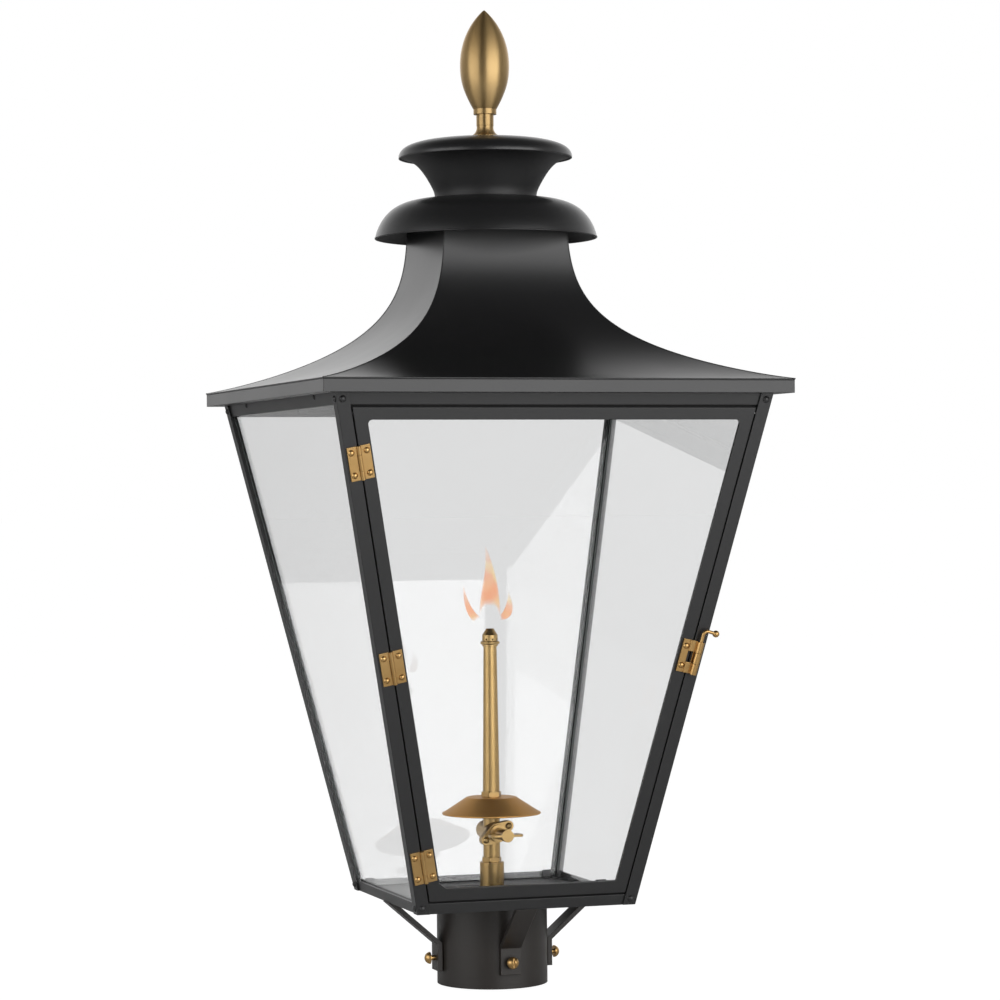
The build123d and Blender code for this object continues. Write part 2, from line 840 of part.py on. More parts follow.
def make_hinge_door_leaves():
    """Leaves on the door, each with the middle knuckle."""
    split = hinge_length / 4 - hinge_knuckle_gap
    inner = hinge_barrel_radius + hinge_leaf_to_barrel
    leaf = hinge_leaf(inner, hinge_door_leaf_width, ((-split, split),))
    return Compound([hinge_place(height) * leaf for height in hinge_heights()])


def make_hinge_pins():
    """Pins through the three barrels."""
    half = hinge_length / 2
    pin = Pos(0, 0, hinge_barrel_proud) * Rot(90, 0, 0) * rod(hinge_pin_radius, -half, half)
    return Compound([hinge_place(height) * pin for height in hinge_heights()])


def hinge_rivets(hand, grip):
    """The rivets of the leaves on one side of the hinge line."""
    rivets = []
    for height in hinge_heights():
        for up in (-hinge_rivet_spacing / 2, hinge_rivet_spacing / 2):
            place = Pos(hand * hinge_rivet_offset, up, hinge_leaf_thickness)
            rivets.append(hinge_place(height) * place * rivet(hinge_rivet, hinge_leaf_thickness + grip))
    return rivets


# --------------------------------------------------------------------------------------- latch


def latch_place():
    """On the front face over the right post: y along the knuckles' line, z out."""
    height = latch_height_fraction * up_slope(eave_z)
    across = face_half(height) - latch_edge_distance
    return front.location * Pos(across, height, 0) * Rot(0, 0, -edge_tilt)


def knuckle(low, high):
    """Curled knuckle of the latch between two heights, drilled for the pin."""
    return Pos(0, 0, latch_proud) * Rot(90, 0, 0) * rod(latch_knuckle_radius, -high, -low)


def latch_bore():
    """Hole for the pin through every knuckle."""
    radius = latch_pin_radius + latch_pin_clearance
    return Pos(0, 0, latch_proud) * Rot(90, 0, 0) * rod(radius, -latch_length, latch_length)


def make_latch_plate():
    """Brass plate on the door with an upper and a lower arm that curl round the pin."""
    half = latch_length / 2
    third = latch_length / 6 + latch_knuckle_gap / 2
    low = latch_proud - latch_knuckle_radius
    plate = block((-latch_plate_reach, -latch_window_left), (-half, half), (0, latch_plate_thickness))
    for span in ((third, half), (-half, -third)):
        arm = block((-latch_window_left, 0), span, (low, low + latch_arm_thickness))
        plate += arm + knuckle(*span)
    plate -= latch_bore()
    for up in (-latch_rivet_spacing / 2, latch_rivet_spacing / 2):
        plate -= Pos(-latch_rivet_offset, up, 0) * rivet_hole(hinge_rivet, 2 * latch_plate_thickness)
    return latch_place() * plate


def make_latch_keeper():
    """Strip on the post with the middle knuckle."""
    half = latch_keeper_length / 2
    third = latch_length / 6 - latch_knuckle_gap / 2
    side = latch_keeper_width / 2
    strip = block((-side, side), (-half, half), (0, latch_keeper_thickness))
    strip += block((latch_knuckle_radius / 2, latch_knuckle_radius), (-third, third), (0, latch_proud))
    strip += knuckle(-third, third)
    return latch_place() * (strip - latch_bore())


def make_latch_pin():
    """Drop pin, bent over above the knuckles and ended by a ball."""
    half = latch_length / 2
    bend = half + latch_pin_rise
    shank = Line((0, -half), (0, bend))
    arc = JernArc((0, bend), (0, 1), latch_pin_bend_radius, -latch_pin_bend_angle)
    arm = Line(arc @ 1, (arc @ 1) + (arc % 1) * latch_pin_arm)
    section = Plane(origin=(0, -half, 0), z_dir=(0, 1, 0)) * Circle(latch_pin_radius)
    pin = sweep(section, path=Curve() + [shank, arc, arm])
    end = arm @ 1
    pin += Pos(end.X, end.Y, 0) * Sphere(latch_ball_radius)
    return latch_place() * Pos(0, 0, latch_proud) * pin


def make_door_rivets():
    """Rivets of the door leaves and of the latch plate."""
    rivets = hinge_rivets(1, door_thickness)
    for up in (-latch_rivet_spacing / 2, latch_rivet_spacing / 2):
        place = Pos(-latch_rivet_offset, up, latch_plate_thickness)
        rivets.append(latch_place() * place * rivet(hinge_rivet, latch_plate_thickness + door_thickness))
    return Compound(rivets)


# ---------------------------------------------------------------------------------------- roof


def roof_half(z):
    """Half width of the roof's outer surface at a height, the inverse of roof_z."""
    drop = 1 - (z - roof_edge_z) / roof_curve_rise
    out = (1 - drop ** roof_curve_up) ** (1 / roof_curve_out)
    return roof_edge_half - out * (roof_edge_half - roof_collar_half)


def roof_outline():
    """Points of the roof's curve from the eave in to the top of the collar."""
    points = []
    for i in range(roof_curve_points + 1):
        share = (i / roof_curve_points) ** 1.6
        z = roof_edge_z + share * (collar_top_z - roof_edge_z)
        points.append((-roof_half(z), z))
    return points


def make_roof_panel(side):
    """Curved sheet from the eave up into the collar, mitred to its neighbours on the hips."""
    outer = roof_outline()
    inner = shifted(outer, -roof_sheet)
    edges = [Spline(*outer), Line(outer[-1], inner[-1]), Spline(*inner), Line(inner[0], outer[0])]
    section = Plane(origin=(0, 0, 0), x_dir=(0, 1, 0), z_dir=(1, 0, 0)) * make_face(edges)
    length = roof_edge_half + 2 * roof_sheet
    sheet = extrude(section, amount=length, both=True)
    wedge = make_face(Polyline((0, 0), (-2 * length, -2 * length), (2 * length, -2 * length), close=True))
    low = eave_z - eave_band_height
    return turn(sheet & (Pos(0, 0, low) * extrude(wedge, amount=collar_top_z - low + 10)), side)


def make_eave_band():
    """Upright band under the roof's edge, with a lip turned in to close the eave."""
    inside = eave_half - eave_band_wall
    hole = half_width(eave_z + soffit_thickness) + soffit_gap
    band = square_block(eave_z, eave_half, eave_top_z, eave_half)
    band -= square_block(eave_z + soffit_thickness, inside, eave_top_z, inside)
    return band - square_block(eave_z, hole, eave_z + soffit_thickness, hole)


# ---------------------------------------------------------------------------------------- vent


def make_vent_bridge():
    """Strap across the top of the collar, its ends turned down against the roof sheets."""
    low = bridge_top_z - bridge_tab
    half = roof_half(bridge_top_z) - roof_sheet - bridge_gap
    wide = (-bridge_width / 2, bridge_width / 2)
    strap = block((-half, half), wide, (low, bridge_top_z))
    inside = half - bridge_thickness
    strap -= block((-inside, inside), wide, (low, bridge_top_z - bridge_thickness))
    return strap - rod(rod_hole, low, bridge_top_z)


def make_vent_hood():
    """Lower dome over the collar, with holes in its crown that let hot air into the neck."""
    hood = dome_shell(hood_radius, hood_base_z, hood_rise, hood_rounding, rod_hole, hood_rim_cut)
    for i in range(hood_vent_hole_count):
        hole = Pos(hood_vent_ring_radius, 0, 0) * rod(hood_vent_hole_radius, hood_base_z, hood_crown_z + 5)
        hood -= Rot(0, 0, 360 * i / hood_vent_hole_count) * hole
    return hood


def hood_top_z(radius):
    """Height of the hood's outer surface at a radius."""
    out, up = hood_rounding
    return hood_base_z + hood_rise * (1 - (radius / hood_radius) ** out) ** (1 / up)


def make_vent_neck():
    """Trumpet that stands on the hood and flares out under the cap."""
    foot_z = hood_top_z(neck_foot_radius - vent_sheet) + 0.05
    span = neck_lip_radius - neck_waist_radius
    outer = [
        (neck_foot_radius, foot_z),
        (neck_waist_radius, foot_z + 0.17 * neck_height),
        (neck_waist_radius + 0.09 * span, foot_z + 0.33 * neck_height),
        (neck_waist_radius + 0.28 * span, foot_z + 0.59 * neck_height),
        (neck_waist_radius + 0.56 * span, foot_z + 0.85 * neck_height),
        (neck_lip_radius, foot_z + neck_height),
    ]
    inner = shifted(outer, vent_sheet)
    inner[0] = (neck_foot_radius - vent_sheet, foot_z)
    edges = [Spline(*outer), Line(outer[-1], inner[-1]), Spline(*inner), Line(inner[0], outer[0])]
    return turned(edges)


def make_vent_cap():
    """Upper dome, clamped under the finial."""
    return dome_shell(cap_radius, cap_rim_z, cap_rise, cap_rounding, rod_hole, 0)


def make_tie_nuts():
    """Nut and lock nut on the tie rod, under the bridge."""
    top = bridge_top_z - bridge_thickness
    upper = nut(tie_nut_radius, rod_hole, top - tie_nut_height, tie_nut_height)
    lower = nut(tie_nut_radius, rod_hole, top - 2 * tie_nut_height - tie_nut_gap, tie_nut_height)
    return Compound([upper, lower])


def make_finial_foot():
    """Turned brass foot and neck of the finial."""
    rim_top = cap_crown_z + finial_foot_rim
    neck_top = cap_crown_z + finial_neck_top
    flare_top = (finial_neck_radius, rim_top + 0.5 * (neck_top - rim_top))
    flare_middle = (finial_neck_radius + 1.0, rim_top + 2.6)
    edges = [
        Line((0, cap_crown_z), (finial_foot_radius, cap_crown_z)),
        Line((finial_foot_radius, cap_crown_z), (finial_foot_radius, rim_top)),
        ThreePointArc((finial_foot_radius, rim_top), flare_middle, flare_top),
        Line(flare_top, (finial_neck_radius, neck_top)),
        Line((finial_neck_radius, neck_top), (0, neck_top)),
        Line((0, neck_top), (0, cap_crown_z)),
    ]
    return turned(edges) - rod(rod_hole, cap_crown_z, neck_top)


def make_finial_bud():
    """Turned brass bud with a pointed tip, on its collar."""
    low = cap_crown_z + finial_neck_top
    bud = low + finial_collar_height
    height = finial_bud_height
    wide = finial_bud_radius
    outline = [
        (finial_collar_radius, bud),
        (0.735 * wide, bud + 0.13 * height),
        (0.93 * wide, bud + 0.27 * height),
        (wide, bud + 0.44 * height),
        (0.965 * wide, bud + 0.565 * height),
        (0.83 * wide, bud + 0.7 * height),
        (0.54 * wide, bud + 0.85 * height),
        (0.03 * wide, bud + height),
    ]
    edges = [
        Line((0, low), (finial_collar_radius, low)),
        Line((finial_collar_radius, low), (finial_collar_radius, bud)),
        Spline(*outline),
        Line(outline[-1], (0, bud + height)),
        Line((0, bud + height), (0, low)),
    ]
    return turned(edges) - rod(rod_hole, low, low + finial_rod_depth)


def make_tie_rod():
    """Threaded rod from below the bridge up into the finial."""
    top = cap_crown_z + finial_neck_top + finial_rod_depth - tie_rod_clearance
    return rod(tie_rod_radius, bridge_top_z - bridge_thickness - tie_rod_tail, top)


# -------------------------------------------------------------------------------------- burner


def make_valve_body():
    """Straight valve: an upright body, a cross barrel for the plug, ears for the bonnet."""
    body = rod(valve_radius, valve_bottom_z, shield_seat_z)
    body += rod(valve_spigot_radius, shield_seat_z, shield_seat_z + valve_spigot_height)
    barrel = rod(valve_barrel_radius, -valve_barrel_back, valve_barrel_front)
    dome = round_head(valve_barrel_radius - 1, valve_barrel_dome)
    barrel += Pos(0, 0, -valve_barrel_back) * Rot(180, 0, 0) * dome
    barrel += ear_plate(valve_barrel_front - valve_ear_thickness, valve_ear_thickness)
    for screw in valve_screw_places():
        barrel -= screw * rod(valve_screw_radius + 0.05, valve_barrel_front - valve_screw_depth, 30)
    body += Pos(0, 0, valve_axis_z) * on_side(barrel, 0)
    top = shield_seat_z + valve_spigot_height
    body -= rod(valve_bore, valve_bottom_z, top)
    seat = rod(valve_plug_radius + valve_plug_clearance, -valve_plug_depth - 0.2, valve_barrel_front)
    return body - Pos(0, 0, valve_axis_z) * on_side(seat, 0)


def valve_screw_places():
    """The two screws' places about the valve's cross axis."""
    half = valve_ear_spacing / 2
    return [Rot(0, 0, valve_ear_angle) * Pos(hand * half, 0, 0) for hand in (-1, 1)]


def ear_plate(start, thickness):
    """Two-eared plate about the valve's cross axis."""
    ears = [place * Circle(valve_ear_radius) for place in valve_screw_places()]
    outline = make_hull((ears[0] + ears[1] + Circle(valve_barrel_radius)).edges())
    return Pos(0, 0, start) * extrude(outline, amount=thickness)


def make_valve_flange():
    """Bonnet that keeps the plug in its barrel."""
    plate = ear_plate(valve_barrel_front, valve_flange_thickness)
    top = valve_barrel_front + valve_flange_thickness
    plate += rod(valve_flange_boss_radius, top, top + valve_flange_boss_height)
    plate -= rod(key_stem_radius + valve_plug_clearance, valve_barrel_front, top + valve_flange_boss_height)
    for screw in valve_screw_places():
        plate -= screw * rod(valve_screw_radius + 0.05, valve_barrel_front, top)
    return Pos(0, 0, valve_axis_z) * on_side(plate, 0)


def make_valve_screws():
    """Two small cross recess screws in the bonnet's ears."""
    top = valve_barrel_front + valve_flange_thickness
    screw = Pos(0, 0, top) * round_head(valve_screw_head_radius, valve_screw_head_height)
    screw += rod(valve_screw_radius, valve_barrel_front - valve_screw_depth, top + 0.5)
    for angle in (0, 90):
        recess = block((-0.35, 0.35), (-1.4, 1.4), (top + 0.9, top + 3))
        screw -= Rot(0, 0, angle) * recess
    screws = [place * screw for place in valve_screw_places()]
    return Compound([Pos(0, 0, valve_axis_z) * on_side(one, 0) for one in screws])


def make_valve_key():
    """Plug, stem and flat wing in one piece; its hole lies upright while the gas is on."""
    key = rod(valve_plug_radius, -valve_plug_depth, valve_barrel_front - 0.1)
    key += rod(key_stem_radius, valve_barrel_front - 0.2, key_reach)
    key += rod(key_end_radius, key_reach - key_end_length, key_reach)
    key -= Rot(90, 0, 0) * Cylinder(valve_plug_hole, 4 * valve_plug_radius)
    half = key_wing_span / 2
    thick = key_wing_thickness / 2
    wing = block((-half, half), (-thick, thick), (key_reach - key_wing_depth, key_reach))
    wing = fillet(wing.edges().filter_by(Axis.Y), key_wing_depth / 4)
    return Pos(0, 0, valve_axis_z) * on_side(key + wing, 0)


def make_heat_shield():
    """Shallow spun dish clamped between the valve and the burner's nut."""
    low = shield_seat_z
    high = low + shield_sheet
    edges = Polyline(
        (valve_spigot_radius + burner_joint_clearance, low),
        (shield_top_radius, low),
        (shield_rim_radius - shield_sheet / 2, low - shield_drop),
        (shield_rim_radius, low - shield_drop + shield_sheet / 2),
        (shield_top_radius + shield_sheet / 2, high),
        (valve_spigot_radius + burner_joint_clearance, high),
        close=True,
    )
    return turned(edges)


def make_burner_nut():
    """Nut on the valve's spigot, which clamps the shield and carries the burner tube."""
    bore = valve_spigot_radius + burner_joint_clearance
    return nut(burner_nut_radius, bore, burner_nut_z, burner_nut_height)


def make_burner_tube():
    """Tapered brass tube up to the burner tip, counterbored for the valve's spigot."""
    edges = Polyline(
        (burner_tube_bore, tube_bottom_z),
        (burner_tube_bottom_radius, tube_bottom_z),
        (burner_tube_top_radius, tip_z),
        (burner_tube_bore, tip_z),
        close=True,
    )
    depth = shield_seat_z + valve_spigot_height + 0.2 - tube_bottom_z
    counterbore = rod(valve_spigot_radius + burner_joint_clearance, tube_bottom_z, tube_bottom_z + depth)
    return turned(edges) - counterbore


def make_burner_tip():
    """Turned tip with a bead, a ring of air holes and a flat nose that feeds the flame."""
    lip_top = tip_z + tip_lip_height
    bead_top = lip_top + tip_bead_height
    body_top = bead_top + tip_body_height
    nose_z = body_top + tip_cone_height
    bead_middle = (tip_bead_radius, (lip_top + bead_top) / 2)
    edges = [
        Line((0, tip_z), (tip_lip_radius, tip_z)),
        Line((tip_lip_radius, tip_z), (tip_lip_radius, lip_top)),
        ThreePointArc((tip_lip_radius, lip_top), bead_middle, (tip_body_radius, bead_top)),
        Line((tip_body_radius, bead_top), (tip_body_radius, body_top)),
        Line((tip_body_radius, body_top), (tip_nose_radius, nose_z)),
        Line((tip_nose_radius, nose_z), (0, nose_z)),
        Line((0, nose_z), (0, tip_z)),
    ]
    spigot = burner_tube_bore - burner_joint_clearance
    tip = turned(edges) + rod(spigot, tip_z - tip_spigot_depth, tip_z)
    tip -= rod(tip_bore, tip_z - tip_spigot_depth, nose_z)
    for i in range(tip_air_hole_count):
        hole = Rot(0, 90, 0) * rod(tip_air_hole_radius, 0, tip_body_radius + 1)
        tip -= Rot(0, 0, 360 * i / tip_air_hole_count) * Pos(0, 0, bead_top + 1.2) * hole
    return tip


def make_pipe_nut():
    """Lock nut between the valve and the coupling."""
    return nut(pipe_nut_radius, valve_bore, coupling_top_z, pipe_nut_height)


def make_pipe_coupling():
    """Straight coupling that stands on the floor and joins the valve to the inlet nipple."""
    nipple_top = floor_z + nipple_engagement
    body = tube(coupling_radius, valve_bore, floor_z, coupling_top_z)
    return body - rod(nipple_radius + burner_joint_clearance, floor_z, nipple_top + 0.2)


def make_inlet_nipple():
    """Pipe nipple through the floor, whose lower end takes the gas line inside the post."""
    low = base_plate_z - nipple_tail
    shoulder = low + nipple_thread_length
    upper = tube(nipple_radius, nipple_bore, shoulder, floor_z + nipple_engagement)
    return upper + tube(nipple_thread_radius, nipple_bore, low, shoulder)


def make_floor_lock_nut():
    """Nut on the nipple that clamps the floor from below."""
    bore = nipple_radius + burner_joint_clearance
    return nut(lock_nut_radius, bore, base_plate_z - lock_nut_height, lock_nut_height)


def make_hood_spacer():
    """Tube on the rod between the bridge and the hood's crown."""
    return tube(rod_hole + spacer_wall, rod_hole, bridge_top_z, hood_crown_z - vent_sheet - spacer_end_gap)


def make_cap_spacer():
    """Tube on the rod between the hood's crown and the cap's crown."""
    top = cap_crown_z - vent_sheet - spacer_end_gap
    return tube(rod_hole + spacer_wall, rod_hole, hood_crown_z, top)


# -------------------------------------------------------------------------------------- output

side_names = ("front", "right", "back", "left")
post_names = ("front_left", "front_right", "back_right", "back_left")

nodes = {
    "post_fitter": make_post_fitter(),
    "fitter_brackets": Compound([make_bracket(side) for side in range(4)]),
    "bottom_frame": make_bottom_frame(),
    "top_frame": make_top_frame(),
    "frame_rivets": make_frame_rivets(),
    "base_plate": make_base_plate(),
    "seat_strips": make_seat_strips(),
    "glass_clips": make_glass_clips(),
    "door_stops": make_door_stops(),
    "door_frame": make_door_frame(),
    "door_glass": make_door_glass(),
    "door_glass_clips": make_door_clips(),
    "hinge_frame_leaves": make_hinge_frame_leaves(),
    "hinge_door_leaves": make_hinge_door_leaves(),
    "hinge_pins": make_hinge_pins(),
    "hinge_frame_rivets": Compound(hinge_rivets(-1, post_wall)),
    "door_rivets": make_door_rivets(),
    "latch_plate": make_latch_plate(),
    "latch_keeper": make_latch_keeper(),
    "latch_pin": make_latch_pin(),
    "eave_band": make_eave_band(),
    "vent_bridge": make_vent_bridge(),
    "vent_hood": make_vent_hood(),
    "vent_neck": make_vent_neck(),
    "vent_cap": make_vent_cap(),
    "hood_spacer": make_hood_spacer(),
    "cap_spacer": make_cap_spacer(),
    "tie_rod": make_tie_rod(),
    "tie_rod_nuts": make_tie_nuts(),
    "finial_foot": make_finial_foot(),
    "finial_bud": make_finial_bud(),
    "valve_body": make_valve_body(),
    "valve_flange": make_valve_flange(),
    "valve_screws": make_valve_screws(),
    "valve_key": make_valve_key(),
    "heat_shield": make_heat_shield(),
    "burner_nut": make_burner_nut(),
    "burner_tube": make_burner_tube(),
    "burner_tip": make_burner_tip(),
    "pipe_nut": make_pipe_nut(),
    "pipe_coupling": make_pipe_coupling(),
    "inlet_nipple": make_inlet_nipple(),
    "floor_lock_nut": make_floor_lock_nut(),
}
for side, name in enumerate(side_names):
    nodes["clamp_screw_" + name] = make_clamp_screw(side)
    nodes["roof_panel_" + name] = make_roof_panel(side)
    if side:
        nodes["glass_" + name] = make_pane(side)
for side, name in enumerate(post_names):
    nodes["corner_post_" + name] = make_corner_post(side)

os.makedirs("parts", exist_ok=True)
for name, shape in nodes.items():
    export_step(shape, os.path.join("parts", name + ".step"))
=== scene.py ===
import math

import bmesh
import bpy
import numpy as np
from mathutils import Matrix, Vector


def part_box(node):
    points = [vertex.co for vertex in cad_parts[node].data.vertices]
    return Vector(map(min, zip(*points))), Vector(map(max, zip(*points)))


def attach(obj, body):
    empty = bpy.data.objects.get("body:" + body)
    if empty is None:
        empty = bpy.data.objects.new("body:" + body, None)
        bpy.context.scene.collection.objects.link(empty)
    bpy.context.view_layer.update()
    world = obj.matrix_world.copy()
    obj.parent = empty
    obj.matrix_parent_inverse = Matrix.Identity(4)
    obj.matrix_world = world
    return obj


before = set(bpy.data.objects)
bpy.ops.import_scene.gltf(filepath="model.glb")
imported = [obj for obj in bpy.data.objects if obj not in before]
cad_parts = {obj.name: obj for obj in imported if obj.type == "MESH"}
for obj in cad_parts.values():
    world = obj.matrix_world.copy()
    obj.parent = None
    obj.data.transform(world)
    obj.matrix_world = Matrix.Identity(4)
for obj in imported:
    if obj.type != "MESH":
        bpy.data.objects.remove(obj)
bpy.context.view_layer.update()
scene = bpy.context.scene

# ------------------------------------------------------------------------------------ camera
# It stands a little left of the lantern's front, level with the panes, and looks at the
# lantern through a long lens, rolled by half a degree.

image_px = 1000.0
focal_px = 3241.39
camera_place = (-0.76656, -2.34862, 0.36777)
yaw, pitch, roll = 0.3191, -0.0004, -0.0087
forward = Vector((math.sin(yaw) * math.cos(pitch), math.cos(yaw) * math.cos(pitch), math.sin(pitch)))
level_right = Vector((math.cos(yaw), -math.sin(yaw), 0.0))
level_up = level_right.cross(forward)
right = math.cos(roll) * level_right + math.sin(roll) * level_up
up = math.cos(roll) * level_up - math.sin(roll) * level_right
camera_data = bpy.data.cameras.new("camera")
camera_data.sensor_width = 36.0
camera_data.lens = focal_px * camera_data.sensor_width / image_px
camera = bpy.data.objects.new("camera", camera_data)
scene.collection.objects.link(camera)
camera.matrix_world = Matrix((
    (right.x, up.x, -forward.x, camera_place[0]),
    (right.y, up.y, -forward.y, camera_place[1]),
    (right.z, up.z, -forward.z, camera_place[2]),
    (0.0, 0.0, 0.0, 1.0),
))
scene.camera = camera
scene.view_settings.view_transform = "Standard"

# ------------------------------------------------------------------------------------ studio
# A white sweep: the world is white where the camera looks past the lantern, and round it
# stands a darker room with a bright backdrop, two wide softboxes and a pale floor.

white = (1.0, 1.0, 1.0, 1.0)


def add_node(tree, kind, **values):
    """New node of a kind, with its inputs set by name."""
    node = tree.nodes.new(kind)
    for name, value in values.items():
        node.inputs[name.replace("_", " ")].default_value = value
    return node


def link(tree, source, target):
    """Join an output socket to an input socket."""
    tree.links.new(source, target)


def math_node(tree, operation, first, second=0.5):
    """Math node on two sockets or numbers; its output socket."""
    node = tree.nodes.new("ShaderNodeMath")
    node.operation = operation
    for index, value in enumerate((first, second)):
        if isinstance(value, (int, float)):
            node.inputs[index].default_value = value
        else:
            link(tree, value, node.inputs[index])
    return node.outputs[0]


def ramp_node(tree, fac, stops):
    """Colour ramp through (position, grey or colour) stops; its colour socket."""
    node = tree.nodes.new("ShaderNodeValToRGB")
    points = node.color_ramp.elements
    while len(points) < len(stops):
        points.new(0.5)
    for point, (position, value) in zip(points, stops):
        colour = (value, value, value) if isinstance(value, (int, float)) else value
        point.position = position
        point.color = (*colour, 1.0)
    link(tree, fac, node.inputs["Fac"])
    return node.outputs["Color"]


def mix_colours(tree, factor, first, second, blend="MIX"):
    """Mix two colours, each a socket or a value, by a factor of either kind; its colour socket."""
    node = tree.nodes.new("ShaderNodeMix")
    node.data_type = "RGBA"
    node.blend_type = blend
    for label, value in (("Factor", factor), ("A", first), ("B", second)):
        if isinstance(value, (float, tuple)):
            node.inputs[label].default_value = value
        else:
            link(tree, value, node.inputs[label])
    return node.outputs["Result"]


def mix_shaders(tree, factor, first, second):
    """Mix two shader sockets by a factor socket; its shader socket."""
    node = tree.nodes.new("ShaderNodeMixShader")
    link(tree, factor, node.inputs["Fac"])
    link(tree, first, node.inputs[1])
    link(tree, second, node.inputs[2])
    return node.outputs["Shader"]


def seen_straight(tree):
    """1 where the camera looks, straight or through glass, and 0 for all other rays; its socket."""
    rays = tree.nodes.new("ShaderNodeLightPath").outputs
    return math_node(tree, "MAXIMUM", rays["Is Camera Ray"], rays["Is Transmission Ray"])


def halved(tree, value):
    """value / 2 + 1 / 2, which brings -1 to 1 into 0 to 1; its socket."""
    result = math_node(tree, "MULTIPLY_ADD", value, 0.5)
    result.node.inputs[2].default_value = 0.5
    return result


world = bpy.data.worlds.new("studio")
scene.world = world
world.use_nodes = True
sky = world.node_tree
sky.nodes.clear()
ray = sky.nodes.new("ShaderNodeTexCoord")
split = sky.nodes.new("ShaderNodeSeparateXYZ")
link(sky, ray.outputs["Generated"], split.inputs["Vector"])
toward = sky.nodes.new("ShaderNodeVectorMath")
toward.operation = "DOT_PRODUCT"
toward.inputs[1].default_value = (math.sin(yaw), math.cos(yaw), 0.0)
link(sky, ray.outputs["Generated"], toward.inputs[0])
around = ramp_node(sky, halved(sky, toward.outputs["Value"]), (
    (0.0, 0.08), (0.25, 0.14), (0.5, 0.45), (0.85, 0.8), (0.97, 1.3)))
upward = ramp_node(sky, halved(sky, split.outputs["Z"]), (
    (0.0, 0.5), (0.5, 0.9), (0.58, 1.25), (0.7, 0.9), (0.88, 0.18), (1.0, 0.12)))
background_room = add_node(sky, "ShaderNodeBackground", Strength=1.0)
link(sky, mix_colours(sky, 1.0, around, upward, "MULTIPLY"), background_room.inputs["Color"])
background_white = add_node(sky, "ShaderNodeBackground", Color=white, Strength=1.0)
background = mix_shaders(sky, seen_straight(sky), background_room.outputs["Background"],
                         background_white.outputs["Background"])
sky_out = sky.nodes.new("ShaderNodeOutputWorld")
link(sky, background, sky_out.inputs["Surface"])

lantern_middle = Vector((0.0, 0.0, 0.36))


def softbox(name, azimuth, rise, distance, size, strength):
    """Area light at an azimuth clockwise from the camera's side, aimed at the lantern's middle."""
    angle = math.radians(azimuth) + yaw + math.pi
    place = lantern_middle + Vector((math.sin(angle) * distance, math.cos(angle) * distance, rise))
    data = bpy.data.lights.new(name, "AREA")
    data.shape = "RECTANGLE"
    data.size, data.size_y = size
    data.energy = strength * size[0] * size[1] * math.pi
    lamp = bpy.data.objects.new(name, data)
    scene.collection.objects.link(lamp)
    lamp.location = place
    lamp.rotation_euler = (lantern_middle - place).to_track_quat("-Z", "Y").to_euler()


softbox("softbox_left", azimuth=53.0, rise=0.35, distance=2.6, size=(2.6, 1.9), strength=2.2)
softbox("softbox_right", azimuth=-40.0, rise=0.35, distance=2.6, size=(3.0, 1.9), strength=3.4)


def new_material(name):
    """Material with nodes: the material, its tree and its Principled shader."""
    material = bpy.data.materials.new(name)
    material.use_nodes = True
    return material, material.node_tree, material.node_tree.nodes["Principled BSDF"]


floor_level = -0.001
floor_reach = 60.0
floor_glow = 1.17
floor_glow_share = 0.82
floor_mesh = bpy.data.meshes.new("floor")
floor_mesh.from_pydata(
    [(x, y, floor_level) for x, y in ((-1, -1), (1, -1), (1, 1), (-1, 1))], [], [(0, 1, 2, 3)])
floor_mesh.transform(Matrix.Diagonal((floor_reach, floor_reach, 1.0, 1.0)))
floor = bpy.data.objects.new("floor", floor_mesh)
scene.collection.objects.link(floor)
floor_paint, tree, shader = new_material("pale_floor")
shader.inputs["Base Color"].default_value = (0.86, 0.86, 0.86, 1.0)
shader.inputs["Roughness"].default_value = 0.9
sweep_light = add_node(tree, "ShaderNodeEmission", Color=white, Strength=floor_glow)
lit_share = math_node(tree, "MULTIPLY", seen_straight(tree), floor_glow_share)
lit_floor = mix_shaders(tree, lit_share, shader.outputs["BSDF"], sweep_light.outputs["Emission"])
link(tree, lit_floor, tree.nodes["Material Output"].inputs["Surface"])
floor_mesh.materials.append(floor_paint)

# --------------------------------------------------------------------------------- black paint
# Every steel piece is powder coated satin black: a fine orange peel and a little dust, with a
# painted highlight, a paler colour, along its edges. The floor is greyer, the fitter browner, the
# neck duller and darker with painted shade, and the stops behind the door are matt.

highlight_edge_radius = 0.0006
dusty_above = 0.72
# how strongly the edges are made paler: a painted highlight
edge_highlight_gain = 2.0
dust_cover = 0.25
peel_strength = 0.35


def make_group(name, inputs, outputs):
    """Shader node group with named float inputs and outputs; the tree and its two end nodes."""
    tree = bpy.data.node_groups.new(name, "ShaderNodeTree")
    for label, value in inputs:
        socket = tree.interface.new_socket(name=label, in_out="INPUT", socket_type="NodeSocketFloat")
        socket.default_value = value
    for label in outputs:
        tree.interface.new_socket(name=label, in_out="OUTPUT", socket_type="NodeSocketFloat")
    return tree, tree.nodes.new("NodeGroupInput"), tree.nodes.new("NodeGroupOutput")


def noise(tree, vector, scale, detail=2.0):
    """Noise texture on a vector; its value socket."""
    node = add_node(tree, "ShaderNodeTexNoise", Detail=detail)
    link(tree, vector, node.inputs["Vector"])
    if isinstance(scale, (int, float)):
        node.inputs["Scale"].default_value = scale
    else:
        link(tree, scale, node.inputs["Scale"])
    return node.outputs["Fac"]


def edge_mask(tree, radius):
    """0 on a flat face, rising to 1 where the surface turns within a radius."""
    rounded = tree.nodes.new("ShaderNodeBevel")
    rounded.samples = 4
    rounded.inputs["Radius"].default_value = radius
    flat = tree.nodes.new("ShaderNodeNewGeometry")
    turn = tree.nodes.new("ShaderNodeVectorMath")
    turn.operation = "DOT_PRODUCT"
    link(tree, rounded.outputs["Normal"], turn.inputs[0])
    link(tree, flat.outputs["Normal"], turn.inputs[1])
    return math_node(tree, "SUBTRACT", 1.0, turn.outputs["Value"])


